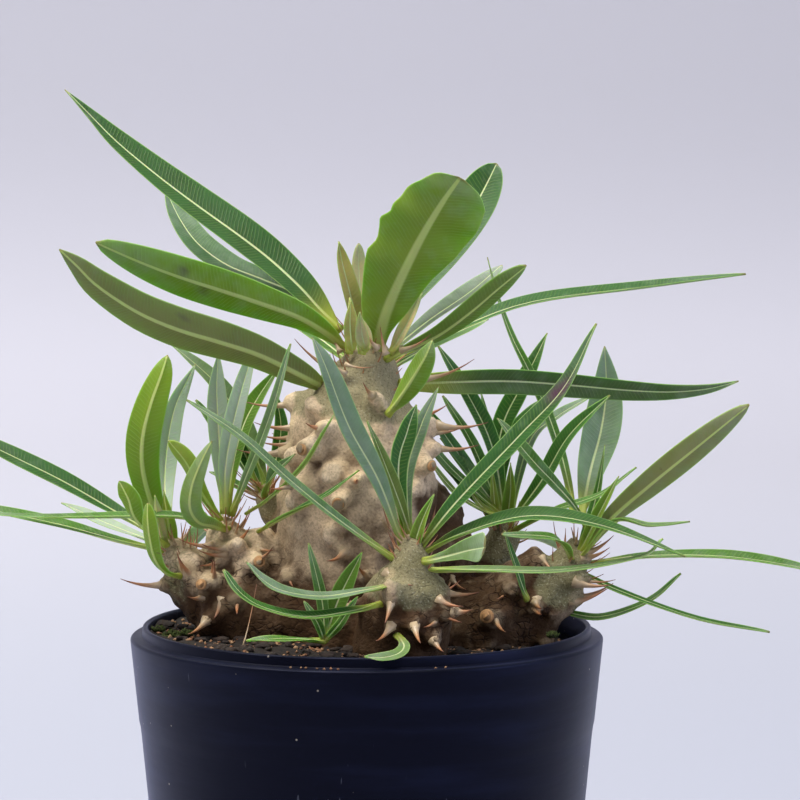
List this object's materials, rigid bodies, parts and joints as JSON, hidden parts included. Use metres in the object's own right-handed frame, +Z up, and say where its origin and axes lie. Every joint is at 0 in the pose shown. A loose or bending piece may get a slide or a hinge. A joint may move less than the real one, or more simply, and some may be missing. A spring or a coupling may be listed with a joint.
{
  "type": "potted succulent",
  "caption": "Potted pachypodium: a spiny swollen stem with branching arms, tufts of narrow leaves, soil and a round black nursery pot.",
  "frame": {"origin": "middle of the pot's flat underside", "axes": "+Z up along the pot's axis, -Y towards the front, +X to the right seen from the front"},
  "size_m": [0.1898, 0.1245, 0.2157],
  "materials": {
    "pot": "semi-gloss moulded black",
    "soil": "loose dark grit of bark chips and pumice",
    "bark": "matt beige-grey bark with brown patches",
    "leaf": "soft satin green, paler underneath"
  },
  "bodies": {
    "root": {"pot": "pot", "soil": "soil", "caudex": "bark", "crown_main": "leaf", "crown_left_outer": "leaf", "crown_left_middle": "leaf", "crown_left_inner": "leaf", "crown_front": "leaf", "crown_right_inner": "leaf", "crown_right_outer": "leaf", "crown_back": "leaf", "seedling": "leaf"}
  },
  "joints": []
}
